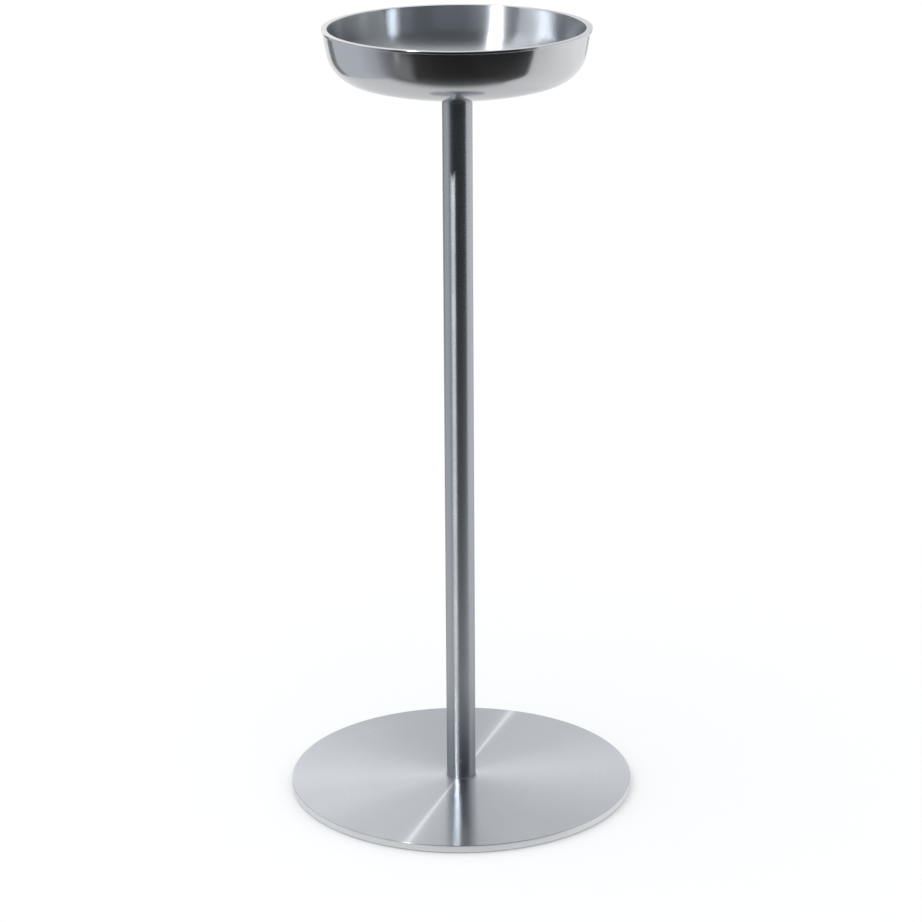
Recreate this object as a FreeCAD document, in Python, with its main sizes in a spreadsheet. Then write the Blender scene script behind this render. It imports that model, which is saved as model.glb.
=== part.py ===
"""Champagne bucket stand: a heavy turned base plate, a tube column and a thick spun dish with a flat rim.

The frame's origin is on the floor under the column's axis, with +Z up. Sizes are in millimetres.
Every turned piece is revolved about Z where it sits in the finished stand.
"""

import FreeCAD
import Part
import Sketcher
import math
import os
import re

SIZES = {
    # overall
    "overall_height": (663.0, "floor to the top of the rim"),
    # base plate and its pads
    "plate_dia": (295.0, "base plate diameter"),
    "plate_thick": (6.0, "base plate thickness"),
    "plate_edge": (0.6, "radius on the plate's outer edges"),
    "pad_count": (6, "anti-slip pads under the plate"),
    "pad_dia": (18.0, "pad diameter"),
    "pad_thick": (1.0, "pad thickness, which is the gap under the plate"),
    "pad_circle": (250.0, "diameter of the circle that the pads sit on"),
    "pad_edge": (0.3, "chamfer on the pad's lower edge"),
    # column
    "tube_dia": (25.0, "column tube diameter"),
    "tube_wall": (1.5, "column tube wall"),
    "tube_edge": (0.3, "chamfer on the tube's ends"),
    "plug_length": (28.0, "threaded plug fixed inside each end of the tube"),
    "plug_lead": (1.0, "chamfer on the plug's inner end"),
    "foot_washer_thick": (0.3, "plastic washer between tube and plate"),
    "washer_inset": (0.3, "how far a washer or gasket stays inside the tube's outline"),
    # dish
    "rim_dia": (220.0, "dish diameter over the lip at the rim"),
    "lip_height": (2.2, "height of the lip that runs round the outside of the rim"),
    "lip_proud": (1.1, "how far the lip stands out of the dish wall"),
    "lip_edge": (0.4, "radius on the lip's two outer edges"),
    "rim_edge": (0.6, "radius on the rim's inner edge"),
    "dish_depth": (55.0, "top of the rim to the outside of the dish's bottom"),
    "dish_wall": (4.0, "wall thickness of the dish"),
    "wall_curve": (145.0, "radius of the side wall's outline"),
    "wall_centre_rise": (11.0, "height of the side wall curve's centre above the rim"),
    "corner_curve": (30.0, "radius of the outline between wall and bottom"),
    "bottom_curve": (312.0, "radius of the shallow domed bottom"),
    # head joint
    "collar_height": (4.0, "collar between the tube and the dish"),
    "seat_gasket_thick": (1.0, "gasket between the collar and the dish, at its middle"),
    "seal_thick": (1.2, "seal between the dish and the clamp disc, at its middle"),
    "seal_dia": (34.0, "seal diameter"),
    "seal_bore": (12.0, "seal bore, wide enough for the screw head's cone"),
    "disc_dia": (36.0, "clamp disc diameter"),
    "disc_thick": (3.0, "clamp disc thickness"),
    "disc_edge": (1.2, "radius on the clamp disc's upper edge"),
    # countersunk socket screws, M8 x 25
    "thread_dia": (8.0, "screw thread, outside"),
    "thread_gap": (0.05, "radial clearance drawn in the tapped holes"),
    "hole_dia": (9.0, "clearance hole for a screw"),
    "head_dia": (16.0, "countersunk head, outside"),
    "head_land": (0.4, "straight rim of the countersunk head"),
    "head_gap": (0.05, "clearance drawn between a screw head and its countersink"),
    "screw_length": (25.0, "screw length, head included"),
    "screw_lead": (1.0, "chamfer at the screw's tip"),
    "key_size": (5.0, "hexagon socket across the flats"),
    "key_depth": (3.2, "hexagon socket depth"),
}

# Heights above the floor, as expressions in the sheet's aliases.
PLATE_TOP = "(pad_thick + plate_thick)"
TUBE_FOOT = f"({PLATE_TOP} + foot_washer_thick)"
DISH_BOTTOM = "(overall_height - dish_depth)"
BOTTOM_CENTRE = f"({DISH_BOTTOM} + bottom_curve)"
WALL_CENTRE_HEIGHT = "(overall_height + wall_centre_rise)"
LIP_FOOT = "(overall_height - lip_height)"
COLLAR_TOP = f"({DISH_BOTTOM} - seat_gasket_thick)"
TUBE_HEAD = f"({COLLAR_TOP} - collar_height)"
DISC_FOOT = f"({DISH_BOTTOM} + dish_wall + seal_thick)"
DISC_TOP = f"({DISC_FOOT} + disc_thick)"

# Radii from the axis.
TUBE_BORE = "(tube_dia / 2 - tube_wall)"
TAPPED = "(thread_dia / 2 + thread_gap)"
HEAD_CONE = "(head_dia / 2 - thread_dia / 2)"  # the 90 degree cone is as tall as it is wide
WALL_OUTSIDE = "(rim_dia / 2 - lip_proud)"
WALL_CENTRE = f"({WALL_OUTSIDE} - sqrt(wall_curve^2 - wall_centre_rise^2))"
RIM_INSIDE = f"({WALL_CENTRE} + sqrt((wall_curve - dish_wall)^2 - wall_centre_rise^2))"

doc = FreeCAD.newDocument("bucket_stand")


def make_sheet():
    """The spreadsheet that holds every driving dimension under its alias."""
    sheet = doc.addObject("Spreadsheet::Sheet", "Sizes")
    for row, (alias, (value, meaning)) in enumerate(SIZES.items(), start=1):
        sheet.set(f"A{row}", meaning)
        sheet.set(f"B{row}", str(value))
        sheet.setAlias(f"B{row}", alias)
    doc.recompute()
    return sheet


sizes = make_sheet()


def bound(text):
    """The same expression with each alias read from the sheet."""
    return re.sub(r"[a-z]+_[a-z_]+", lambda word: f"Sizes.{word.group()}", text)


def value(text):
    """What an expression comes to now, as a plain number."""
    found = sizes.evalExpression(bound(text))
    return float(getattr(found, "Value", found))


def add_body(label):
    body = doc.addObject("PartDesign::Body", label)
    body.Label = label
    return body


def add_sketch(body, plane, name):
    """An empty sketch on one of the body's own origin planes."""
    sketch = body.newObject("Sketcher::SketchObject", name)
    support = next(item for item in body.Origin.OriginFeatures if item.Role == plane)
    sketch.AttachmentSupport = (support, [""])
    sketch.MapMode = "FlatFace"
    return sketch


def bind(sketch, kind, *where, to):
    """Adds a dimension to the sketch and ties it to an expression."""
    index = sketch.addConstraint(Sketcher.Constraint(kind, *where, value(to)))
    sketch.setExpression(f"Constraints[{index}]", bound(to))


def pin(sketch, edge, end, radius=None, height=None):
    """Ties one end of an edge to a radius and a height from the origin."""
    if radius == "0":
        sketch.addConstraint(Sketcher.Constraint("PointOnObject", edge, end, -2))
    elif radius:
        bind(sketch, "DistanceX", -1, 1, edge, end, to=radius)
    if height:
        bind(sketch, "DistanceY", -1, 1, edge, end, to=height)


def join_ends(sketch, count):
    """Closes a loop: each edge's end meets the next edge's start."""
    for edge in range(count):
        following = (edge + 1) % count
        sketch.addConstraint(Sketcher.Constraint("Coincident", edge, 2, following, 1))


def revolve(body, sketch):
    feature = body.newObject("PartDesign::Revolution", sketch.Name + "_turned")
    feature.Profile = (sketch, [""])
    feature.ReferenceAxis = (sketch, ["V_Axis"])
    feature.Angle = 360.0
    sketch.Visibility = False
    doc.recompute()
    return feature


def on_dome(radius, dome):
    """The height of a dome's lower side at a radius, from its curve and its centre's height."""
    curve, centre = (value(text) for text in dome)
    return centre - math.sqrt(curve**2 - radius**2)


def turned(label, corners, dome=None):
    """A body turned about Z from a closed outline of (radius, height) corners.

    With dome, given as (curve radius, centre height), the first edge is an arc about a centre on the axis,
    and its two corners have no height of their own.
    """
    body = add_body(label)
    sketch = add_sketch(body, "XZ_Plane", label + "_outline")
    points = []
    for radius, height in corners:
        across = value(radius)
        points.append((across, value(height) if height else on_dome(across, dome)))
    for start, end in zip(points, points[1:] + points[:1]):
        if dome and not sketch.GeometryCount:
            centre = FreeCAD.Vector(0, value(dome[1]), 0)
            circle = Part.Circle(centre, FreeCAD.Vector(0, 0, 1), value(dome[0]))
            angles = [math.asin(x / circle.Radius) - math.pi / 2 for x, _ in (start, end)]
            sketch.addGeometry(Part.ArcOfCircle(circle, *angles))
        else:
            line = Part.LineSegment(FreeCAD.Vector(*start, 0), FreeCAD.Vector(*end, 0))
            sketch.addGeometry(line)
    join_ends(sketch, len(corners))
    if dome:
        sketch.addConstraint(Sketcher.Constraint("PointOnObject", 0, 3, -2))
        bind(sketch, "DistanceY", -1, 1, 0, 3, to=dome[1])
        bind(sketch, "Radius", 0, to=dome[0])
    for edge, (radius, height) in enumerate(corners):
        pin(sketch, edge, 1, radius, height)
    revolve(body, sketch)
    return body


def ring_edges(body, radius, height):
    """Names of the circular edges about the axis at a radius and a height."""
    names = []
    for number, edge in enumerate(body.Shape.Edges, start=1):
        if edge.Degenerated or not isinstance(edge.Curve, Part.Circle):
            continue
        curve = edge.Curve
        if abs(curve.Radius - value(radius)) < 1e-4 and abs(curve.Center.z - value(height)) < 1e-4:
            names.append(f"Edge{number}")
    return names


def dress(body, kind, edges, size):
    """Rounds or chamfers edges of the body's last feature."""
    before = body.Tip
    feature = body.newObject(f"PartDesign::{kind}", f"{body.Name}_{kind.lower()}")
    feature.Base = (before, edges)
    prop = "Radius" if kind == "Fillet" else "Size"
    setattr(feature, prop, value(size))
    feature.setExpression(prop, bound(size))
    body.Tip = feature
    doc.recompute()


def base_plate():
    """Solid turned disc, countersunk from below for the screw that holds the column."""
    sink = "(head_dia / 2 + head_gap)"
    plate = turned("base_plate", [
        ("hole_dia / 2", PLATE_TOP),
        ("plate_dia / 2", PLATE_TOP),
        ("plate_dia / 2", "pad_thick"),
        (sink, "pad_thick"),
        (sink, "pad_thick + head_land"),
        ("hole_dia / 2", f"pad_thick + head_land + {sink} - hole_dia / 2"),
    ])
    outer = [name for height in (PLATE_TOP, "pad_thick")
             for name in ring_edges(plate, "plate_dia / 2", height)]
    dress(plate, "Fillet", outer, "plate_edge")
    return plate


def foot_pad(number):
    """One stick-on anti-slip pad, turned to its place on the pad circle."""
    pad = add_body(f"foot_pad_{number}")
    sketch = add_sketch(pad, "XY_Plane", pad.Name + "_outline")
    middle = FreeCAD.Vector(value("pad_circle / 2"), 0, 0)
    sketch.addGeometry(Part.Circle(middle, FreeCAD.Vector(0, 0, 1), value("pad_dia / 2")))
    sketch.addConstraint(Sketcher.Constraint("PointOnObject", 0, 3, -1))
    bind(sketch, "DistanceX", -1, 1, 0, 3, to="pad_circle / 2")
    bind(sketch, "Radius", 0, to="pad_dia / 2")
    disc = pad.newObject("PartDesign::Pad", pad.Name + "_disc")
    disc.Profile = (sketch, [""])
    disc.setExpression("Length", bound("pad_thick"))
    sketch.Visibility = False
    doc.recompute()
    rims = [f"Edge{n}" for n, edge in enumerate(pad.Shape.Edges, start=1)
            if isinstance(edge.Curve, Part.Circle) and abs(edge.Curve.Center.z) < 1e-6]
    dress(pad, "Chamfer", rims, "pad_edge")
    turn = 360.0 / value("pad_count") * (number - 0.5)
    pad.Placement = FreeCAD.Placement(FreeCAD.Vector(), FreeCAD.Vector(0, 0, 1), turn)
    return pad


def flat_ring(label, inner, outer, bottom, top):
    """A plain ring with a rectangular section."""
    return turned(label, [(inner, bottom), (outer, bottom), (outer, top), (inner, top)])


def column_tube():
    """Straight tube from the foot washer to the collar, its outer ends chamfered."""
    return turned("column_tube", [
        (TUBE_BORE, TUBE_FOOT),
        ("tube_dia / 2 - tube_edge", TUBE_FOOT),
        ("tube_dia / 2", f"{TUBE_FOOT} + tube_edge"),
        ("tube_dia / 2", f"{TUBE_HEAD} - tube_edge"),
        ("tube_dia / 2 - tube_edge", TUBE_HEAD),
        (TUBE_BORE, TUBE_HEAD),
    ])


def tube_plug(label, face, inward):
    """Tapped plug, flush with the tube's end at height face. inward is + or -, into the tube."""
    inner_end = f"{face} {inward} plug_length"
    lead = f"{inner_end} {'-' if inward == '+' else '+'} plug_lead"
    return turned(label, [
        (TAPPED, face),
        (TUBE_BORE, face),
        (TUBE_BORE, lead),
        (f"{TUBE_BORE} - plug_lead", inner_end),
        (TAPPED, inner_end),
    ])


def rectangle(body, name, inner, outer, bottom, top):
    """A sketch of a ring's rectangular section, between two radii and two heights."""
    sketch = add_sketch(body, "XZ_Plane", name)
    corners = [(inner, bottom), (outer, bottom), (outer, top), (inner, top)]
    points = [FreeCAD.Vector(value(radius), value(height), 0) for radius, height in corners]
    for start, end in zip(points, points[1:] + points[:1]):
        sketch.addGeometry(Part.LineSegment(start, end))
    join_ends(sketch, 4)
    for edge, (radius, height) in enumerate(corners):
        pin(sketch, edge, 1, radius, height)
    return sketch


def dish_outline(body, name, inset):
    """Half the bowl's section, from the axis at the bottom to the top of the rim, moved inwards by inset.

    Three tangent arcs make it: the domed bottom, the corner and the side wall.
    """
    sketch = add_sketch(body, "XZ_Plane", name)
    radii = [f"({curve} - {inset})" for curve in ("bottom_curve", "corner_curve", "wall_curve")]
    bottom_r, corner_r, wall_r = (value(text) for text in radii)
    bottom_c = FreeCAD.Vector(0, value(BOTTOM_CENTRE), 0)
    wall_c = FreeCAD.Vector(value(WALL_CENTRE), value(WALL_CENTRE_HEIGHT), 0)
    # The corner arc lies inside both other arcs, so its centre is this far from each of theirs.
    to_bottom, to_wall = bottom_r - corner_r, wall_r - corner_r
    apart = wall_c - bottom_c
    along = (apart.Length**2 + to_bottom**2 - to_wall**2) / (2 * apart.Length)
    aside = math.sqrt(to_bottom**2 - along**2)
    unit = apart / apart.Length
    corner_c = bottom_c + unit * along + FreeCAD.Vector(-unit.y, unit.x, 0) * aside
    low_joint = bottom_c + (corner_c - bottom_c).normalize() * bottom_r
    high_joint = wall_c + (corner_c - wall_c).normalize() * wall_r
    foot = FreeCAD.Vector(0, bottom_c.y - bottom_r, 0)
    lid = FreeCAD.Vector(0, value("overall_height"), 0)
    rim = FreeCAD.Vector(wall_c.x + math.sqrt(wall_r**2 - (wall_c.y - lid.y)**2), lid.y, 0)

    def arc(centre, radius, start, end):
        angles = [math.atan2(point.y - centre.y, point.x - centre.x) for point in (start, end)]
        return Part.ArcOfCircle(Part.Circle(centre, FreeCAD.Vector(0, 0, 1), radius), *angles)

    sketch.addGeometry([
        arc(bottom_c, bottom_r, foot, low_joint),
        arc(corner_c, corner_r, low_joint, high_joint),
        arc(wall_c, wall_r, high_joint, rim),
        Part.LineSegment(rim, lid),
        Part.LineSegment(lid, foot),
    ])
    for edge in (0, 1):
        sketch.addConstraint(Sketcher.Constraint("Tangent", edge, 2, edge + 1, 1))
    for edge in (2, 3, 4):
        sketch.addConstraint(Sketcher.Constraint("Coincident", edge, 2, (edge + 1) % 5, 1))
    for edge, radius in enumerate(radii):
        bind(sketch, "Radius", edge, to=radius)
    sketch.addConstraint(Sketcher.Constraint("Horizontal", 3))
    pin(sketch, 0, 1, "0")
    pin(sketch, 0, 3, "0", BOTTOM_CENTRE)
    pin(sketch, 2, 3, WALL_CENTRE, WALL_CENTRE_HEIGHT)
    pin(sketch, 3, 2, "0", "overall_height")
    return sketch


def dish():
    """Spun dish: a turned blank, hollowed to an even wall, with a lip round its flat rim and a screw hole."""
    body = add_body("dish")
    revolve(body, dish_outline(body, "dish_outside", "0"))
    solid_volume = body.Shape.Volume

    inside = dish_outline(body, "dish_inside", "dish_wall")
    hollow = body.newObject("PartDesign::Groove", "dish_hollow")
    hollow.Profile = (inside, [""])
    hollow.ReferenceAxis = (inside, ["V_Axis"])
    hollow.Angle = 360.0
    doc.recompute()
    if body.Shape.Volume > solid_volume / 2:
        raise RuntimeError("the dish wasn't hollowed")

    lip_inside = f"({WALL_OUTSIDE} - dish_wall / 4)"
    revolve(body, rectangle(body, "dish_lip", lip_inside, "rim_dia / 2", LIP_FOOT, "overall_height"))
    outer = [name for height in (LIP_FOOT, "overall_height")
             for name in ring_edges(body, "rim_dia / 2", height)]
    dress(body, "Fillet", outer, "lip_edge")
    dress(body, "Fillet", ring_edges(body, RIM_INSIDE, "overall_height"), "rim_edge")
    rimmed_volume = body.Shape.Volume

    hole = add_sketch(body, "XY_Plane", "dish_hole")
    hole.AttachmentOffset = FreeCAD.Placement(FreeCAD.Vector(0, 0, value(DISH_BOTTOM)), FreeCAD.Rotation())
    hole.setExpression("AttachmentOffset.Base.z", bound(DISH_BOTTOM))
    hole.addGeometry(Part.Circle(FreeCAD.Vector(), FreeCAD.Vector(0, 0, 1), value("hole_dia / 2")))
    hole.addConstraint(Sketcher.Constraint("Coincident", 0, 3, -1, 1))
    bind(hole, "Radius", 0, to="hole_dia / 2")
    cut = body.newObject("PartDesign::Pocket", "dish_hole_cut")
    cut.Profile = (hole, [""])
    cut.Reversed = True
    cut.setExpression("Length", bound("dish_wall * 2"))
    doc.recompute()
    if body.Shape.Volume > rimmed_volume - 1:
        raise RuntimeError("the dish's hole wasn't cut")
    return body


def countersunk_screw(label, face, inward):
    """Socket screw with its head flush at height face. inward is + or -, from the head to the tip."""
    back = "-" if inward == "+" else "+"
    tip = f"{face} {inward} screw_length"
    screw = turned(label, [
        ("0", face),
        ("head_dia / 2", face),
        ("head_dia / 2", f"{face} {inward} head_land"),
        ("thread_dia / 2", f"{face} {inward} head_land {inward} {HEAD_CONE}"),
        ("thread_dia / 2", f"{tip} {back} screw_lead"),
        ("thread_dia / 2 - screw_lead", tip),
        ("0", tip),
    ])
    sketch = add_sketch(screw, "XY_Plane", label + "_key_outline")
    sketch.AttachmentOffset = FreeCAD.Placement(FreeCAD.Vector(0, 0, value(face)), FreeCAD.Rotation())
    sketch.setExpression("AttachmentOffset.Base.z", bound(face))
    across_corners = value("key_size") / math.cos(math.pi / 6)
    corners = [FreeCAD.Vector(math.cos(a), math.sin(a), 0) * (across_corners / 2)
               for a in (math.pi / 3 * step for step in range(6))]
    for start, end in zip(corners, corners[1:] + corners[:1]):
        sketch.addGeometry(Part.LineSegment(start, end))
    circle = Part.Circle(FreeCAD.Vector(), FreeCAD.Vector(0, 0, 1), across_corners / 2)
    guide = sketch.addGeometry(circle, True)
    join_ends(sketch, 6)
    sketch.addConstraint(Sketcher.Constraint("Coincident", guide, 3, -1, 1))
    for edge in range(6):
        sketch.addConstraint(Sketcher.Constraint("PointOnObject", edge, 1, guide))
    for edge in range(1, 6):
        sketch.addConstraint(Sketcher.Constraint("Equal", 0, edge))
    sketch.addConstraint(Sketcher.Constraint("Horizontal", 1))
    bind(sketch, "Radius", guide, to="key_size / 2 / cos(30)")
    socket = screw.newObject("PartDesign::Pocket", label + "_socket")
    socket.Profile = (sketch, [""])
    socket.Reversed = inward == "+"
    socket.setExpression("Length", bound("key_depth"))
    sketch.Visibility = False
    doc.recompute()
    return screw


def clamp_disc():
    """Disc inside the dish that spreads the screw's pull, countersunk from above."""
    sink = "(head_dia / 2 + head_gap)"
    disc = turned("clamp_disc", [
        (f"{sink} - disc_thick + head_land", DISC_FOOT),
        ("disc_dia / 2", DISC_FOOT),
        ("disc_dia / 2", DISC_TOP),
        (sink, DISC_TOP),
        (sink, f"{DISC_TOP} - head_land"),
    ])
    dress(disc, "Fillet", ring_edges(disc, "disc_dia / 2", DISC_TOP), "disc_edge")
    return disc


def dish_seal():
    """Soft ring under the clamp disc: domed below to lie on the dish, flat above."""
    inside = ("(bottom_curve - dish_wall)", BOTTOM_CENTRE)
    return turned("dish_seal", [
        ("seal_bore / 2", None),
        ("seal_dia / 2", None),
        ("seal_dia / 2", DISC_FOOT),
        ("seal_bore / 2", DISC_FOOT),
    ], dome=inside)


def seat_gasket():
    """Soft ring between collar and dish: domed above to take the dish, flat below."""
    outer = "tube_dia / 2 - washer_inset"
    return turned("seat_gasket", [
        ("hole_dia / 2", None),
        (outer, None),
        (outer, COLLAR_TOP),
        ("hole_dia / 2", COLLAR_TOP),
    ], dome=("bottom_curve", BOTTOM_CENTRE))


def head_collar():
    """Turned collar that carries the dish on the tube's end."""
    return flat_ring("head_collar", "hole_dia / 2", "tube_dia / 2", TUBE_HEAD, COLLAR_TOP)


def foot_washer():
    """Thin plastic washer that keeps the tube off the plate's finish."""
    return flat_ring("foot_washer", "hole_dia / 2", "tube_dia / 2 - washer_inset", PLATE_TOP, TUBE_FOOT)


def build():
    """Every sub-part of the stand, from the floor up."""
    pads = [foot_pad(number) for number in range(1, int(value("pad_count")) + 1)]
    return pads + [
        base_plate(),
        countersunk_screw("base_screw", "pad_thick", "+"),
        foot_washer(),
        tube_plug("foot_plug", TUBE_FOOT, "+"),
        column_tube(),
        tube_plug("head_plug", TUBE_HEAD, "-"),
        head_collar(),
        seat_gasket(),
        dish(),
        dish_seal(),
        clamp_disc(),
        countersunk_screw("dish_screw", DISC_TOP, "-"),
    ]


def check_document():
    """Stops if any object failed to recompute or any sketch is left loose."""
    doc.recompute()
    for item in doc.Objects:
        if {"Invalid", "Error"} & set(item.State):
            raise RuntimeError(f"{item.Name} failed: {item.State}")
        if item.TypeId == "Sketcher::SketchObject" and not item.FullyConstrained:
            raise RuntimeError(f"{item.Name} isn't fully constrained")


def write_parts(bodies):
    os.makedirs("parts", exist_ok=True)
    for body in bodies:
        shape = body.Shape
        if shape.isNull() or not shape.isValid() or len(shape.Solids) != 1:
            raise RuntimeError(f"{body.Label} has no single valid solid")
        shape.exportStep(f"parts/{body.Label}.step")
        box = shape.BoundBox
        print(f"{body.Label}: {shape.Volume:.1f} mm3, z {box.ZMin:.2f} to {box.ZMax:.2f}, "
              f"across {box.XLength:.2f}")


bodies = build()
check_document()
write_parts(bodies)
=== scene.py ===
"""Champagne bucket stand: a turned steel base plate, a polished tube column and a thick spun dish."""

import bmesh
import bpy
import math
from mathutils import Matrix, Vector


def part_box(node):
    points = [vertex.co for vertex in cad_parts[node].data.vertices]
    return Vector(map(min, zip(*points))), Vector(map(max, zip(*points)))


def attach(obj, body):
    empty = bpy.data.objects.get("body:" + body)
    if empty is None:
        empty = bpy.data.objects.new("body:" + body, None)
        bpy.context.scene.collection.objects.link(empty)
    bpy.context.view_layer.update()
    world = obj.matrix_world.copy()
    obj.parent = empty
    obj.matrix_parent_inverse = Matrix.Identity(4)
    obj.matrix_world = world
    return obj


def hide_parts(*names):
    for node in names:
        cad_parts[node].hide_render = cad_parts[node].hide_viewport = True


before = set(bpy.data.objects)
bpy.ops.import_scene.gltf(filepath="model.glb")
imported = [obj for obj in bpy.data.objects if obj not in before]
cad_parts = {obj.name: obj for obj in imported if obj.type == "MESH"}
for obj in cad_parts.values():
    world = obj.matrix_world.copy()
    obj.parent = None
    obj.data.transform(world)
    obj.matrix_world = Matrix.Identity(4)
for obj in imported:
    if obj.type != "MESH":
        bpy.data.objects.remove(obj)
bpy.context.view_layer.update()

MM = 0.001
AROUND = 256
HOLD = 0.08 * MM  # a loop of points this far from a rounded edge keeps the face beside it flat

# The dish's shape, as it was spun. Its place and its overall size come from the frame.
WALL = 4.0 * MM
DEPTH = 55.0 * MM
LIP_HEIGHT = 2.2 * MM
LIP_PROUD = 1.1 * MM
LIP_EDGE = 0.4 * MM
RIM_EDGE = 0.6 * MM
WALL_CURVE = 145.0 * MM
WALL_CENTRE_RISE = 11.0 * MM
CORNER_CURVE = 30.0 * MM
BOTTOM_CURVE = 312.0 * MM

# The column.
TUBE_WALL = 1.5 * MM

# The two countersunk screws, and the holes and countersinks that they go into.
SCREW_HOLE = 9.0 * MM
HEAD_RADIUS = 8.0 * MM
HEAD_LAND = 0.4 * MM
SHANK_RADIUS = 4.0 * MM
SOCKET_WIDTH = 5.0 * MM
SOCKET_DEPTH = 3.2 * MM
SINK_RADIUS = HEAD_RADIUS + 0.05 * MM

# The studio, in metres. The stand is at its middle and the camera looks along +Y.
FLOOR_REACH = 12.0
TABLE_CARD_HEIGHT = 0.0004
SHADE_CARD_HEIGHT = 0.0008
ROOM_FRONT = -3.2
ROOM_HEIGHT = 3.5
KEY_PLACE = (-1.898, -1.925, 3.248)
KEY_AIM = (0, 0, 0.3)
KEY_THICKNESS = 0.17

# The camera, with its angles in degrees.
CAMERA_BACK = 2.440
CAMERA_HEIGHT = 1.096
CAMERA_DOWN = 18.19
CAMERA_LEAN = 0.357
LENS = 118.67
SENSOR = 36.0
LENS_SHIFT = 0.0018


# ---- turning -------------------------------------------------------------------------------------


class Outline:
    """Half a section, drawn as a path in the X-Z plane, which is then turned about Z."""

    def __init__(self, x, z):
        self.mesh = bmesh.new()
        self.end = self.mesh.verts.new((x, 0, z))
        self.rounded = []

    def line(self, x, z, parts=1, round_off=0.0):
        """A straight run to a point. round_off is the radius wanted at the corner it ends on."""
        start = self.end.co.copy()
        for part in range(1, parts + 1):
            made = bmesh.ops.extrude_vert_indiv(self.mesh, verts=[self.end])
            self.end = made["verts"][0]
            self.end.co = start.lerp(Vector((x, 0, z)), part / parts)
        if round_off:
            self.rounded.append((self.end, round_off))

    def arc(self, centre, angle, parts):
        """A run around a centre. A positive angle turns from +X towards +Z."""
        made = bmesh.ops.spin(
            self.mesh, geom=[self.end], cent=(centre[0], 0, centre[1]), axis=(0, -1, 0),
            angle=angle, steps=parts)
        self.end = [item for item in made["geom_last"] if isinstance(item, bmesh.types.BMVert)][0]

    def spun(self, around):
        """Closes the path if it ends on its start, rounds its corners and turns it about Z."""
        mesh = self.mesh
        bmesh.ops.remove_doubles(mesh, verts=mesh.verts, dist=1e-7)
        for corner, radius in self.rounded:
            bmesh.ops.bevel(
                mesh, geom=[corner], offset=radius, offset_type="OFFSET", affect="VERTICES",
                segments=5, profile=0.5, material=-1)
        bmesh.ops.spin(
            mesh, geom=mesh.verts[:] + mesh.edges[:], cent=(0, 0, 0), axis=(0, 0, 1),
            angle=math.tau, steps=around, use_merge=True)
        bmesh.ops.remove_doubles(mesh, verts=mesh.verts, dist=1e-7)
        return mesh

    def turn(self, name, around=AROUND):
        """The finished round piece."""
        return finish_mesh(self.spun(around), name)


def finish_mesh(mesh, name, smooth=True):
    """Makes an object of a mesh, with its faces pointing outwards."""
    bmesh.ops.remove_doubles(mesh, verts=mesh.verts, dist=1e-7)
    bmesh.ops.dissolve_degenerate(mesh, edges=mesh.edges, dist=1e-8)
    bmesh.ops.recalc_face_normals(mesh, faces=mesh.faces)
    for face in mesh.faces:
        face.smooth = smooth
    data = bpy.data.meshes.new(name)
    mesh.to_mesh(data)
    mesh.free()
    piece = bpy.data.objects.new(name, data)
    bpy.context.scene.collection.objects.link(piece)
    return piece


def stand_in(piece, node, material):
    """Puts a finished piece on the stand in the place of its CAD node."""
    piece.data.materials.append(material)
    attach(piece, "root")
    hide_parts(node)
    return piece


def radius_and_heights(node):
    """A round CAD node's radius, and the heights of its bottom and top."""
    low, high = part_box(node)
    return (high.x - low.x) / 2, low.z, high.z


# ---- finishes ------------------------------------------------------------------------------------


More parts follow.
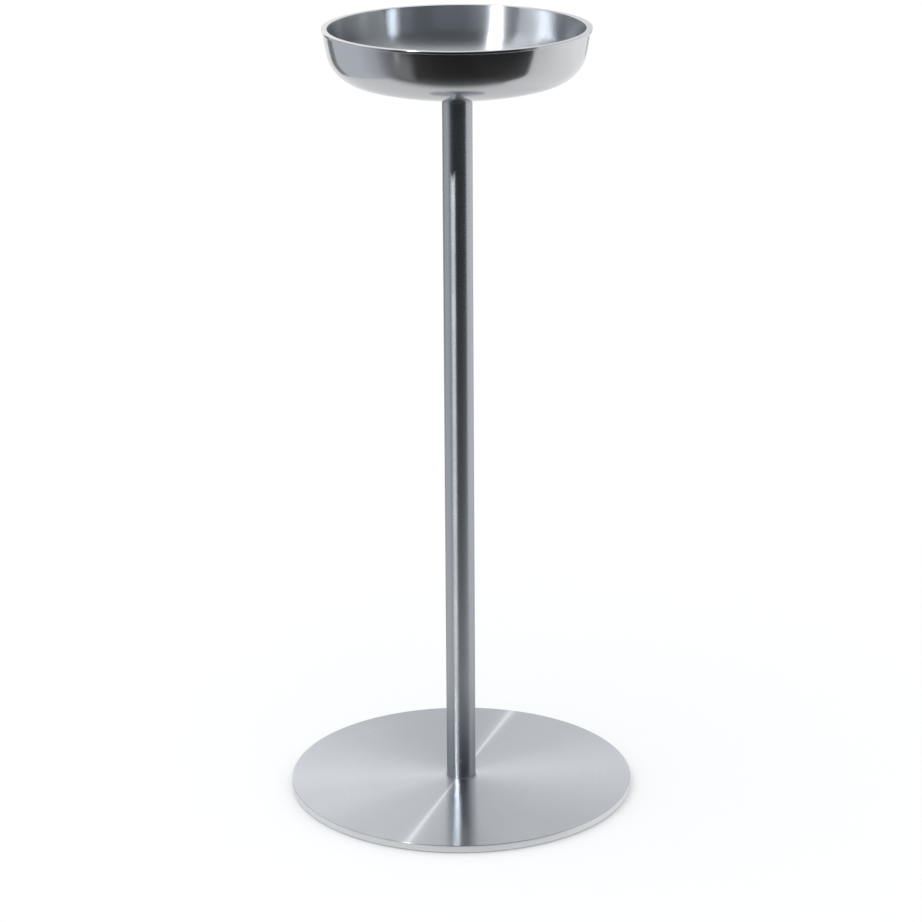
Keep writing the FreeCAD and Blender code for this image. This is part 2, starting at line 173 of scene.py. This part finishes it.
class Finish:
    """A material with its shader, and short calls for adding nodes to it."""

    def __init__(self, name):
        self.material = bpy.data.materials.new(name)
        self.material.use_nodes = True
        self.tree = self.material.node_tree
        self.shader = self.tree.nodes["Principled BSDF"]
        self.place = self.add("ShaderNodeTexCoord").outputs["Object"]

    def add(self, kind, **settings):
        node = self.tree.nodes.new(kind)
        for name, value in settings.items():
            setattr(node, name, value)
        return node

    def link(self, source, target):
        self.tree.links.new(source, target)

    def set(self, **values):
        for name, value in values.items():
            self.shader.inputs[name.replace("_", " ")].default_value = value

    def math(self, operation, *inputs):
        node = self.add("ShaderNodeMath", operation=operation)
        for socket, value in zip(node.inputs, inputs):
            if isinstance(value, (int, float)):
                socket.default_value = value
            else:
                self.link(value, socket)
        return node.outputs[0]

    def vector(self, operation, *inputs):
        node = self.add("ShaderNodeVectorMath", operation=operation)
        for socket, value in zip(node.inputs, inputs):
            if isinstance(value, tuple):
                socket.default_value = value
            else:
                self.link(value, socket)
        return node.outputs["Value" if operation == "LENGTH" else "Vector"]

    def noise(self, where, scale, detail=2.0, roughness=0.5):
        node = self.add("ShaderNodeTexNoise")
        self.link(where, node.inputs["Vector"])
        node.inputs["Scale"].default_value = scale
        node.inputs["Detail"].default_value = detail
        node.inputs["Roughness"].default_value = roughness
        return node.outputs["Fac"]

    def ranged(self, value, low, high, start=0.0, end=1.0):
        node = self.add("ShaderNodeMapRange")
        self.link(value, node.inputs["Value"])
        for name, number in (("From Min", start), ("From Max", end), ("To Min", low), ("To Max", high)):
            node.inputs[name].default_value = number
        return node.outputs["Result"]

    def bump(self, height, strength, depth):
        node = self.add("ShaderNodeBump")
        node.inputs["Strength"].default_value = strength
        node.inputs["Distance"].default_value = depth
        self.link(height, node.inputs["Height"])
        self.link(node.outputs["Normal"], self.shader.inputs["Normal"])

    def across_grooves(self):
        """Draws the shine out across the turning marks, which run in circles about the axis."""
        around = self.vector("CROSS_PRODUCT", self.place, (0.0, 0.0, -1.0))
        normal = self.add("ShaderNodeNewGeometry").outputs["Normal"]
        across = self.vector("NORMALIZE", self.vector("CROSS_PRODUCT", normal, around))
        self.link(across, self.shader.inputs["Tangent"])
        return across

    def gleam(self, share, colour, across):
        """Mixes in a share of the long thin shine that finely turned steel draws out of a lamp."""
        shine = self.add("ShaderNodeBsdfAnisotropic")
        shine.inputs["Color"].default_value = (*colour, 1)
        shine.inputs["Roughness"].default_value = 0.26
        shine.inputs["Anisotropy"].default_value = -0.86
        self.link(across, shine.inputs["Tangent"])
        both = self.add("ShaderNodeMixShader")
        both.inputs["Fac"].default_value = share
        self.link(self.shader.outputs["BSDF"], both.inputs[1])
        self.link(shine.outputs["BSDF"], both.inputs[2])
        self.link(both.outputs[0], self.tree.nodes["Material Output"].inputs["Surface"])

    def turning_rings(self, unevenness):
        """A place to read noise from, so that it comes out as rings about the axis."""
        parts = self.add("ShaderNodeSeparateXYZ")
        self.link(self.place, parts.inputs[0])
        flat = self.vector("MULTIPLY", self.place, (1.0, 1.0, 0.0))
        radius = self.vector("LENGTH", flat)
        out = self.vector("NORMALIZE", flat)
        turn = self.add("ShaderNodeSeparateXYZ")
        self.link(out, turn.inputs[0])
        place = self.add("ShaderNodeCombineXYZ")
        self.link(self.math("MULTIPLY", turn.outputs["X"], unevenness), place.inputs["X"])
        self.link(self.math("MULTIPLY", turn.outputs["Y"], unevenness), place.inputs["Y"])
        self.link(self.math("ADD", radius, parts.outputs["Z"]), place.inputs["Z"])
        return place.outputs[0]


def turned_steel(name, colour, roughness, anisotropy, marks, depth, gleam=0.0, edge=1.0):
    """Stainless steel with fine turning marks in rings: marks colours them and depth carves them.

    gleam is its share of long thin shine, and edge is how bright it is where it's seen edge on.
    """
    spread = 0.08
    contrast = 0.06 * marks
    steel = Finish(name)
    rings = steel.turning_rings(0.0004)
    fine = steel.noise(rings, 9000.0, detail=3.0, roughness=0.7)
    broad = steel.noise(rings, 700.0, detail=2.0)
    cloud = steel.noise(steel.place, 14.0, detail=3.0)
    steel.set(Metallic=1.0, Anisotropic=anisotropy, Specular_Tint=(edge, edge, edge, 1))
    mixed = steel.math("ADD", steel.math("MULTIPLY", fine, 0.6), steel.math("MULTIPLY", broad, 0.4))
    uneven = steel.math("ADD", steel.math("MULTIPLY", broad, 0.2), steel.math("MULTIPLY", cloud, 0.8))
    steel.link(steel.ranged(uneven, roughness * (1 - spread), roughness * (1 + spread), 0.3, 0.7),
               steel.shader.inputs["Roughness"])
    tone = steel.add("ShaderNodeMix", data_type="RGBA")
    steel.link(steel.ranged(mixed, 0.0, 1.0, 0.3, 0.7), tone.inputs["Factor"])
    tone.inputs["A"].default_value = (*[part * (1 - contrast) for part in colour], 1)
    tone.inputs["B"].default_value = (*[min(1, part * (1 + contrast)) for part in colour], 1)
    steel.link(tone.outputs["Result"], steel.shader.inputs["Base Color"])
    if depth:
        steel.bump(fine, 1.0, depth)
    across = steel.across_grooves()
    if gleam:
        steel.gleam(gleam, colour, across)
    return steel.material


def soft_matt(name, colour, roughness):
    """Rubber or plastic with no shine and a fine grain."""
    matt = Finish(name)
    grain = matt.noise(matt.place, 2500.0, detail=4.0)
    wear = matt.noise(matt.place, 120.0, detail=2.0)
    matt.set(Metallic=0.0)
    tone = matt.add("ShaderNodeMix", data_type="RGBA")
    matt.link(wear, tone.inputs["Factor"])
    tone.inputs["A"].default_value = (*[part * 0.8 for part in colour], 1)
    tone.inputs["B"].default_value = (*[part * 1.3 for part in colour], 1)
    matt.link(tone.outputs["Result"], matt.shader.inputs["Base Color"])
    matt.link(matt.ranged(grain, roughness * 0.9, roughness * 1.1), matt.shader.inputs["Roughness"])
    matt.bump(grain, 0.4, 0.05 * MM)
    return matt.material


# ---- pieces --------------------------------------------------------------------------------------


def make_base_plate(material, side):
    """The solid round plate, with its edge rounded and its hole countersunk from below."""
    radius, low, high = radius_and_heights("base_plate")
    edge = 0.6 * MM
    hole = SCREW_HOLE / 2
    outline = Outline(hole, high)
    outline.line(radius - 2 * edge, high, parts=12)
    outline.line(radius - edge, high)
    outline.arc((radius - edge, high - edge), -math.pi / 2, 6)
    outline.line(radius, low + edge, parts=3)
    outline.arc((radius - edge, low + edge), -math.pi / 2, 6)
    outline.line(radius - 2 * edge, low)
    outline.line(SINK_RADIUS + edge, low, parts=6)
    outline.line(SINK_RADIUS, low)
    outline.line(SINK_RADIUS, low + HEAD_LAND)
    outline.line(hole, low + HEAD_LAND + SINK_RADIUS - hole)
    outline.line(hole, high)
    plate = stand_in(outline.turn("base_plate_turned"), "base_plate", material)
    # The side faces take the second material. Its lighter colour is painted light on the plate's edge,
    # and its higher roughness is the coarser finish of the side.
    plate.data.materials.append(side)
    for face in plate.data.polygons:
        if abs(face.normal.z) < 0.5 and face.center.xy.length > radius / 2:
            face.material_index = 1
    return plate


def make_column(material):
    """The tube, with its cut ends lightly rounded outside."""
    radius, low, high = radius_and_heights("column_tube")
    bore = radius - TUBE_WALL
    edge = 0.3 * MM
    foot_edge = 0.1 * MM
    outline = Outline(bore, low)
    outline.line(radius - foot_edge, low)
    outline.arc((radius - foot_edge, low + foot_edge), math.pi / 2, 4)
    outline.line(radius, high - edge, parts=40)
    outline.arc((radius - edge, high - edge), math.pi / 2, 4)
    outline.line(bore, high)
    outline.line(bore, low, parts=10)
    return stand_in(outline.turn("column_tube_drawn", 160), "column_tube", material)


def arc_angles(centre, start, end):
    """How far to turn about a centre from one point to another, the short way."""
    first = math.atan2(start[1] - centre[1], start[0] - centre[0])
    last = math.atan2(end[1] - centre[1], end[0] - centre[0])
    return (last - first + math.pi) % math.tau - math.pi


def on_circle(centre, curve, z):
    """The point at height z on the outer side of a circle."""
    return Vector((centre.x + math.sqrt(curve**2 - (z - centre.y)**2), z))


def dish_arcs(inset, rim_radius, high):
    """The three arcs of the bowl's section moved inwards by inset: their centres and where they meet."""
    bottom = Vector((0, high - DEPTH + BOTTOM_CURVE))
    reach = math.sqrt(WALL_CURVE**2 - WALL_CENTRE_RISE**2)
    wall = Vector((rim_radius - LIP_PROUD - reach, high + WALL_CENTRE_RISE))
    apart = wall - bottom
    to_bottom = BOTTOM_CURVE - CORNER_CURVE
    to_wall = WALL_CURVE - CORNER_CURVE
    along = (apart.length_squared + to_bottom**2 - to_wall**2) / (2 * apart.length)
    aside = math.sqrt(to_bottom**2 - along**2)
    unit = apart.normalized()
    corner = bottom + unit * along + Vector((-unit.y, unit.x)) * aside
    low_joint = bottom + (corner - bottom).normalized() * (BOTTOM_CURVE - inset)
    high_joint = wall + (corner - wall).normalized() * (WALL_CURVE - inset)
    return bottom, corner, wall, low_joint, high_joint


def add_rim(outline, rim_radius, high, inner_top):
    """The lip outside the rim, the flat top and the rounded inner edge, from the lip's foot inwards."""
    lip_foot = high - LIP_HEIGHT
    outline.line(rim_radius - LIP_EDGE - HOLD, lip_foot)
    outline.line(rim_radius - LIP_EDGE, lip_foot)
    outline.arc((rim_radius - LIP_EDGE, lip_foot + LIP_EDGE), math.pi / 2, 5)
    outline.line(rim_radius, lip_foot + LIP_EDGE + HOLD)
    outline.line(rim_radius, high - LIP_EDGE - HOLD)
    outline.line(rim_radius, high - LIP_EDGE)
    outline.arc((rim_radius - LIP_EDGE, high - LIP_EDGE), math.pi / 2, 5)
    outline.line(rim_radius - LIP_EDGE - HOLD, high)
    outline.line(inner_top.x + RIM_EDGE + HOLD, high, parts=4)
    outline.line(inner_top.x + RIM_EDGE, high)
    outline.arc((inner_top.x + RIM_EDGE, high - RIM_EDGE), math.pi / 2, 6)


def make_dish(outside, inside):
    """The spun dish: domed bottom, round corner, flared wall and a flat rim with a small lip outside."""
    rim_radius, low, high = radius_and_heights("dish")
    hole = SCREW_HOLE / 2
    bottom, corner, wall, joint_a, joint_b = dish_arcs(0, rim_radius, high)
    _, _, _, inner_a, inner_b = dish_arcs(WALL, rim_radius, high)
    foot = Vector((hole, bottom.y - math.sqrt(BOTTOM_CURVE**2 - hole**2)))
    inner_curve = BOTTOM_CURVE - WALL
    inner_foot = Vector((hole, bottom.y - math.sqrt(inner_curve**2 - hole**2)))
    below_lip = on_circle(wall, WALL_CURVE, high - LIP_HEIGHT - RIM_EDGE)
    under_lip = on_circle(wall, WALL_CURVE, high - LIP_HEIGHT)
    inner_top = on_circle(wall, WALL_CURVE - WALL, high - RIM_EDGE)
    outline = Outline(*foot)
    outline.arc(bottom, arc_angles(bottom, foot, joint_a), 24)
    outline.arc(corner, arc_angles(corner, joint_a, joint_b), 20)
    outline.arc(wall, arc_angles(wall, joint_b, below_lip), 10)
    outline.line(*under_lip, round_off=0.2 * MM)
    add_rim(outline, rim_radius, high, inner_top)
    outline.arc(wall, arc_angles(wall, inner_top, inner_b), 10)
    outline.arc(corner, arc_angles(corner, inner_b, inner_a), 20)
    outline.arc(bottom, arc_angles(bottom, inner_a, inner_foot), 24)
    outline.line(*foot)
    piece = outline.turn("dish_spun", 320)
    stand_in(piece, "dish", outside)
    piece.data.materials.append(inside)
    for face in piece.data.polygons:
        at = face.center
        towards_axis = face.normal.x * at.x + face.normal.y * at.y < 0
        upwards = face.normal.z > 0.05
        if (towards_axis or upwards) and at.z < high - RIM_EDGE:
            face.material_index = 1
    return piece


def make_collar(material):
    """The short turned collar under the dish, with its sharp edges broken."""
    radius, low, high = radius_and_heights("head_collar")
    hole = SCREW_HOLE / 2
    edge = 0.25 * MM
    outline = Outline(hole, low)
    outline.line(radius - edge - HOLD, low, parts=3)
    outline.line(radius - edge, low)
    outline.arc((radius - edge, low + edge), math.pi / 2, 4)
    outline.line(radius, low + edge + HOLD)
    outline.line(radius, high - edge - HOLD, parts=4)
    outline.line(radius, high - edge)
    outline.arc((radius - edge, high - edge), math.pi / 2, 4)
    outline.line(radius - edge - HOLD, high)
    outline.line(hole, high, parts=3)
    outline.line(hole, low)
    return stand_in(outline.turn("head_collar_turned", 160), "head_collar", material)


def make_clamp_disc(material):
    """The countersunk disc inside the dish, with its edge rounded and the mouth of its hole eased."""
    radius, low, high = radius_and_heights("clamp_disc")
    edge = 1.2 * MM
    eased = 0.3 * MM
    bottom_hole = SINK_RADIUS + HEAD_LAND - (high - low)
    outline = Outline(bottom_hole, low)
    outline.line(radius - eased, low, parts=3)
    outline.line(radius, low + eased)
    outline.line(radius, high - edge)
    outline.arc((radius - edge, high - edge), math.pi / 2, 8)
    outline.line(radius - edge - HOLD, high)
    outline.line(SINK_RADIUS + eased + HOLD, high, parts=3)
    outline.line(SINK_RADIUS + eased, high)
    outline.line(SINK_RADIUS, high - eased)
    outline.line(SINK_RADIUS, high - HEAD_LAND)
    outline.line(bottom_hole, low)
    return stand_in(outline.turn("clamp_disc_turned", 160), "clamp_disc", material)


def sink_socket(mesh, top, into, around):
    """Closes a screw's open head with a flat face round a hexagon socket.

    The hexagon is joined to the head's edge while it lies at the socket's floor, where the two loops
    are apart and can be paired in one way only. Its corners are then brought up level with the head.
    """
    floor_height = top + into * SOCKET_DEPTH
    mouth = [edge for edge in mesh.edges if edge.is_boundary]
    bmesh.ops.create_circle(
        mesh, cap_ends=False, segments=6, radius=SOCKET_WIDTH / math.sqrt(3),
        matrix=Matrix.Translation((0, 0, floor_height)))
    sides = [edge for edge in mesh.edges if edge.is_wire]
    bmesh.ops.subdivide_edges(mesh, edges=sides, cuts=around // 6 - 1)
    hexagon = [edge for edge in mesh.edges if edge.is_wire]
    rim = list({corner for edge in hexagon for corner in edge.verts})
    bmesh.ops.bridge_loops(mesh, edges=mouth + hexagon)
    bmesh.ops.extrude_edge_only(mesh, edges=hexagon)
    bmesh.ops.translate(mesh, verts=rim, vec=(0, 0, top - floor_height))
    bmesh.ops.contextual_create(mesh, geom=[edge for edge in mesh.edges if edge.is_boundary])


def make_screw(node, head_up, material):
    """A countersunk screw with a plain shank and a hexagon socket."""
    radius, low, high = radius_and_heights(node)
    top, tip, into = (high, low, -1) if head_up else (low, high, 1)
    eased = 0.3 * MM
    lead = 1.0 * MM
    outline = Outline(radius - eased, top)
    outline.line(radius, top + into * eased)
    outline.line(radius, top + into * HEAD_LAND)
    outline.line(SHANK_RADIUS, top + into * (HEAD_LAND + radius - SHANK_RADIUS))
    outline.line(SHANK_RADIUS, tip - into * lead)
    outline.line(SHANK_RADIUS - lead, tip)
    outline.line(0, tip)
    around = 96
    mesh = outline.spun(around)
    sink_socket(mesh, top, into, around)
    screw = finish_mesh(mesh, node + "_turned", smooth=False)
    return stand_in(screw, node, material)


def dress_node(node, material):
    """Gives a CAD node that is shown as it is its finish."""
    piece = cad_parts[node]
    piece.data.materials.clear()
    piece.data.materials.append(material)


# ---- stage ---------------------------------------------------------------------------------------


def bearing_from(tree, parts):
    """The bearing about the stand, in radians from -Y and positive towards +X."""
    ahead = tree.nodes.new("ShaderNodeMath")
    ahead.operation = "MULTIPLY"
    tree.links.new(parts.outputs["Y"], ahead.inputs[0])
    ahead.inputs[1].default_value = -1.0
    bearing = tree.nodes.new("ShaderNodeMath")
    bearing.operation = "ARCTAN2"
    tree.links.new(parts.outputs["X"], bearing.inputs[0])
    tree.links.new(ahead.outputs[0], bearing.inputs[1])
    return bearing.outputs[0]


def tones_along(tree, axis, stops):
    """A grey that changes along an axis, or with the bearing about the stand when axis is "turn".

    stops are (coordinate, brightness), in order, and a bearing is in degrees.
    """
    first, last = stops[0][0], stops[-1][0]
    place = tree.nodes.new("ShaderNodeTexCoord")
    parts = tree.nodes.new("ShaderNodeSeparateXYZ")
    tree.links.new(place.outputs["Object"], parts.inputs[0])
    turning = axis == "turn"
    value = bearing_from(tree, parts) if turning else parts.outputs[axis]
    reach = tree.nodes.new("ShaderNodeMapRange")
    tree.links.new(value, reach.inputs["Value"])
    reach.inputs["From Min"].default_value = math.radians(first) if turning else first
    reach.inputs["From Max"].default_value = math.radians(last) if turning else last
    ramp = tree.nodes.new("ShaderNodeValToRGB")
    tree.links.new(reach.outputs["Result"], ramp.inputs["Fac"])
    elements = ramp.color_ramp.elements
    while len(elements) < len(stops):
        elements.new(0.5)
    for element, (where, tone) in zip(elements, stops):
        element.position = (where - first) / (last - first)
        element.color = (tone, tone, tone, 1)
    return ramp.outputs["Color"]


def reflector(name, corners, axis, stops, colour=(1.0, 1.0, 1.0)):
    """A card that only shows in polished surfaces: it gives steel something to reflect."""
    mesh = bmesh.new()
    mesh.faces.new([mesh.verts.new(corner) for corner in corners])
    card = finish_mesh(mesh, name, smooth=False)
    material = bpy.data.materials.new(name)
    material.use_nodes = True
    tree = material.node_tree
    tree.nodes.clear()
    tinted = tree.nodes.new("ShaderNodeVectorMath")
    tinted.operation = "MULTIPLY"
    tree.links.new(tones_along(tree, axis, stops), tinted.inputs[0])
    tinted.inputs[1].default_value = colour
    glow = tree.nodes.new("ShaderNodeEmission")
    tree.links.new(tinted.outputs["Vector"], glow.inputs["Color"])
    out = tree.nodes.new("ShaderNodeOutputMaterial")
    tree.links.new(glow.outputs[0], out.inputs["Surface"])
    material.cycles.emission_sampling = "NONE"
    card.data.materials.append(material)
    card.visible_camera = False
    card.visible_diffuse = False
    card.visible_shadow = False
    card.visible_transmission = False


def level_card(name, corners, z, axis, stops):
    """A card that lies flat at height z, with its corners given as (x, y)."""
    reflector(name, [(x, y, z) for x, y in corners], axis, stops)


def standing_card(name, start, end, z_span, axis, stops, colour=(1.0, 1.0, 1.0)):
    """An upright card between two (x, y) points."""
    corners = [(*start, z_span[0]), (*end, z_span[0]), (*end, z_span[1]), (*start, z_span[1])]
    reflector(name, corners, axis, stops, colour)


def make_floor():
    """A plain floor of pale matt paper."""
    mesh = bmesh.new()
    bmesh.ops.create_grid(mesh, x_segments=1, y_segments=1, size=FLOOR_REACH)
    floor = finish_mesh(mesh, "studio_floor", smooth=False)
    paper = bpy.data.materials.new("studio_paper")
    paper.use_nodes = True
    shader = paper.node_tree.nodes["Principled BSDF"]
    shader.inputs["Base Color"].default_value = (0.86, 0.86, 0.865, 1)
    shader.inputs["Roughness"].default_value = 0.9
    shader.inputs["Specular IOR Level"].default_value = 0.1
    floor.data.materials.append(paper)


def make_table_cards():
    """The table that the steel reflects: pale round the stand and dark towards the front."""
    level_card(
        "table_middle", [(-4, -6), (0.42, -6), (0.42, 6), (-4, 6)], TABLE_CARD_HEIGHT, "Y",
        [(-6.0, 0.018), (-2.0, 0.02), (-1.0, 0.025), (-0.7, 0.06), (-0.5, 0.11), (-0.42, 0.17),
         (-0.36, 0.38), (-0.29, 0.62), (-0.2, 0.78), (0.4, 0.88), (1.2, 1.05), (6.0, 1.1)])
    level_card(
        "table_right", [(0.42, -6), (4, -6), (4, 6), (0.42, 6)], TABLE_CARD_HEIGHT, "Y",
        [(-2.0, 0.6), (-0.6, 0.72), (0.3, 0.95), (1.2, 1.1), (6.0, 1.15)])
    level_card(
        "dark_right", [(0.42, -0.36), (0.80, -0.36), (1.58, -0.62), (4, -1.44), (4, -6), (0.42, -6)],
        SHADE_CARD_HEIGHT, "Y", [(-6.0, 0.018), (-1.0, 0.03), (-0.36, 0.09)])
    level_card(
        "shade_left", [(-0.40, -0.52), (-0.80, -1.29), (-2.2, -1.29), (-2.2, -0.52)],
        SHADE_CARD_HEIGHT, "turn", [(-77, 0.26), (-58, 0.22), (-49, 0.24), (-43, 0.22), (-36, 0.03)])


def make_room_cards():
    """The room that the steel reflects: dark in front, with a grey screen and a window on the left."""
    standing_card(
        "dark_room", (-5.5, ROOM_FRONT), (9.0, ROOM_FRONT), (0.0, ROOM_HEIGHT), "Z",
        [(0.0, 0.022), (ROOM_HEIGHT, 0.085)], (0.92, 1.0, 1.07))
    level_card(
        "dark_ceiling", [(-5.5, ROOM_FRONT), (9.0, ROOM_FRONT), (2.0, -0.1), (-1.2, -0.1)],
        ROOM_HEIGHT, "Y", [(ROOM_FRONT, 0.05), (-0.1, 0.18)])
    standing_card(
        "left_screen", (-0.75, 0.64), (-0.75, -0.5), (0.001, 0.75), "Y",
        [(-0.5, 0.2), (-0.38, 0.28), (-0.25, 0.5), (0.0, 0.66), (0.64, 0.68)], (0.95, 1.0, 1.05))
    standing_card(
        "left_post", (-0.75, 1.05), (-0.75, 0.64), (0.001, 0.75), "Y", [(0.64, 0.26), (1.05, 0.26)])
    standing_card(
        "left_strip", (-0.97, -0.67), (-0.89, -0.80), (0.15, 0.32), "turn",
        [(-55.4, 0.2), (-52.5, 0.48), (-51, 0.48), (-48, 0.2)])
    standing_card(
        "left_window", (-1.6, 0.14), (-1.6, -0.2), (0.78, 1.6), "Y",
        [(-0.2, 0.7), (-0.12, 1.9), (0.06, 1.9), (0.14, 0.7)])
    standing_card(
        "left_back_screen", (-1.7, 1.8), (-1.6, 0.16), (0.8, 2.6), "Z", [(0.8, 0.35), (2.6, 0.45)])
    standing_card(
        "right_screen", (1.5, -0.45), (1.5, 1.4), (0.9, 2.8), "Z", [(0.9, 0.32), (2.8, 0.45)])
    standing_card(
        "right_post", (0.64, 1.38), (0.73, 1.33), (0.25, 1.1), "Z", [(0.25, 0.3), (1.1, 0.25)])
    standing_card(
        "back_glow", (-2.6, 2.9), (0.1, 2.9), (0.1, 2.6), "X",
        [(-2.6, 1.35), (-0.36, 1.35), (-0.22, 1.12), (0.1, 0.98)])


def place_light(name, lamp, at, aim):
    """Hangs a lamp at a point and turns it towards another."""
    item = bpy.data.objects.new(name, lamp)
    item.location = at
    item.rotation_euler = (Vector(aim) - Vector(at)).to_track_quat("-Z", "Y").to_euler()
    bpy.context.scene.collection.objects.link(item)
    return item


def make_key(name, power, width, pieces):
    """A lamp, high on the front left, that only these pieces shine with."""
    lamp = bpy.data.lights.new(name, "AREA")
    lamp.shape = "ELLIPSE"
    lamp.size = width
    lamp.size_y = KEY_THICKNESS
    lamp.energy = power
    key = place_light(name, lamp, KEY_PLACE, KEY_AIM)
    key.visible_diffuse = False
    lit = bpy.data.collections.new(name + "_lit")
    for piece in pieces:
        lit.objects.link(piece)
    key.light_linking.receiver_collection = lit


def make_soft_top():
    """Soft light from above that lays a faint shadow on the floor."""
    sky = bpy.data.lights.new("soft_top", "SUN")
    sky.angle = math.radians(70)
    sky.energy = 0.75
    top = place_light("soft_top", sky, (-0.6, -0.5, 2.0), (0, 0, 0))
    top.visible_glossy = False


def make_world():
    """Even white light from all round."""
    world = bpy.data.worlds.new("studio")
    bpy.context.scene.world = world
    world.use_nodes = True
    back = world.node_tree.nodes["Background"]
    back.inputs["Strength"].default_value = 0.98
    back.inputs["Color"].default_value = (0.98, 0.99, 1.0, 1)
    world.cycles.sampling_method = "NONE"


def make_camera():
    """Looks down on the stand from in front, through a long lens."""
    lens = bpy.data.cameras.new("view")
    lens.lens = LENS
    lens.sensor_width = SENSOR
    lens.shift_x = LENS_SHIFT
    camera = bpy.data.objects.new("view", lens)
    down = Matrix.Rotation(math.radians(90 - CAMERA_DOWN), 4, "X")
    lean = Matrix.Rotation(math.radians(-CAMERA_LEAN), 4, "Z")
    camera.matrix_world = Matrix.Translation((0, -CAMERA_BACK, CAMERA_HEIGHT)) @ down @ lean
    bpy.context.scene.collection.objects.link(camera)
    bpy.context.scene.camera = camera


# ---- the stand -----------------------------------------------------------------------------------

make_camera()
plate_steel = turned_steel("plate_steel", (0.55, 0.575, 0.605), 0.29, 1.0, 0.6, 2.0e-6, gleam=0.22)
# The plate's side band: rougher steel than the top, and a colour set far lighter than the top's as
# painted light, so the side shows bright as if lit by the pale floor and from above.
plate_side_rougher_painted_light = turned_steel("plate_side_rougher_painted_light", (0.82, 0.83, 0.85), 0.40, 0.6, 0.5, 2.0e-6)
tube_steel = turned_steel("tube_steel", (0.45, 0.48, 0.515), 0.26, 1.0, 0.3, 0.0, edge=0.65)
dish_outside = turned_steel("dish_polished", (0.59, 0.60, 0.62), 0.145, 0.8, 0.15, 0.0, edge=0.9)
dish_inside = turned_steel("dish_satin", (0.54, 0.57, 0.605), 0.25, 1.0, 0.5, 2.0e-7)
disc_steel = turned_steel("disc_steel", (0.58, 0.60, 0.62), 0.27, 1.0, 0.5, 2.0e-6, gleam=0.2)
small_steel = turned_steel("small_steel", (0.52, 0.53, 0.54), 0.30, 0.5, 0.5, 2.0e-6)
pad_rubber = soft_matt("pad_rubber", (0.03, 0.03, 0.03), 0.8)
seal_rubber = soft_matt("seal_rubber", (0.05, 0.05, 0.05), 0.7)
washer_plastic = soft_matt("washer_plastic", (0.6, 0.6, 0.58), 0.5)

plate = make_base_plate(plate_steel, plate_side_rougher_painted_light)
column = make_column(tube_steel)
collar = make_collar(tube_steel)
dish = make_dish(dish_outside, dish_inside)
for number in range(1, 7):
    dress_node(f"foot_pad_{number}", pad_rubber)
make_clamp_disc(disc_steel)
make_screw("dish_screw", True, small_steel)
make_screw("base_screw", False, small_steel)
for node in ("foot_plug", "head_plug"):
    dress_node(node, small_steel)
for node in ("seat_gasket", "dish_seal"):
    dress_node(node, seal_rubber)
dress_node("foot_washer", washer_plastic)

make_floor()
make_table_cards()
make_room_cards()
make_key("dish_key", 250.0, 0.2, [dish, collar])
make_key("column_key", 370.0, 2.2, [column])
make_key("plate_key", 29.0, 0.2, [plate])
make_soft_top()
make_world()
bpy.context.scene.view_settings.view_transform = "Standard"
bpy.context.scene.view_settings.look = "None"
